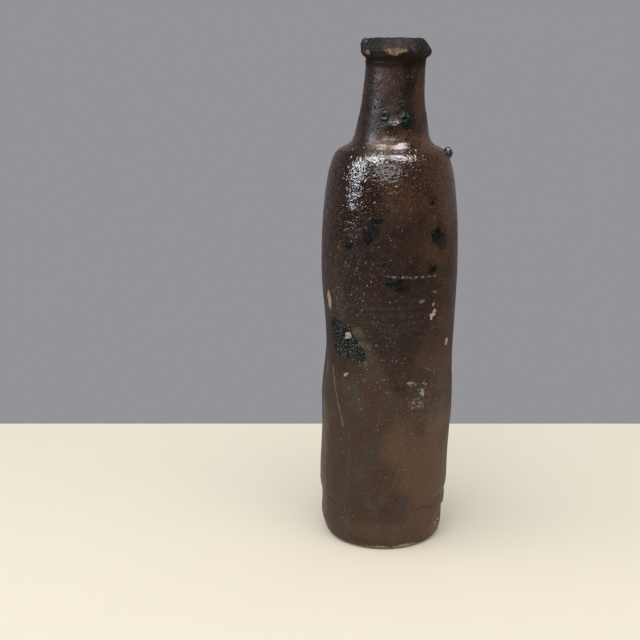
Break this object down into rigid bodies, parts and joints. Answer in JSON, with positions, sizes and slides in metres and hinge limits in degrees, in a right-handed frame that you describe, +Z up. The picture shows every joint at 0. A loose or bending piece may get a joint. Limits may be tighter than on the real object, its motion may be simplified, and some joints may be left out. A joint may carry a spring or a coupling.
{
  "type": "sake bottle",
  "caption": "Tall hand-made stoneware sake bottle with a dark iron glaze, a straight body, a narrow neck and a folded rim.",
  "frame": {"origin": "centre of the flat base, on the surface it stands on", "axes": "+Z up along the bottle, towards its mouth; the side with the slag scar faces -Y and -X; +X is the side with the shoulder lump"},
  "size_m": [0.0815, 0.0815, 0.3],
  "materials": {
    "buff_clay": "matte",
    "clay_slip": "matte",
    "iron_glaze": "gloss",
    "rim_iron_glaze": "gloss",
    "inner_glaze": "gloss",
    "black_slag": "satin",
    "green_black_glass": "gloss",
    "pale_crumb": "matte",
    "kiln_grit": "matte"
  },
  "bodies": {
    "root": {"base_disc": "buff_clay", "body_glaze": "iron_glaze", "clay_crumbs": "pale_crumb", "foot_band": "buff_clay", "foot_grit": "kiln_grit", "glass_beads": "green_black_glass", "inner_glaze": "inner_glaze", "joint_slip": "clay_slip", "lower_wall": "buff_clay", "mouth_rim": "buff_clay", "neck_tube": "buff_clay", "rim_glaze": "rim_iron_glaze", "rim_kiln_lump": "black_slag", "scar_slag_patch": "black_slag", "shoulder_cap": "buff_clay", "shoulder_kiln_lump": "black_slag", "slag_spots": "black_slag", "upper_wall": "buff_clay"}
  },
  "joints": []
}
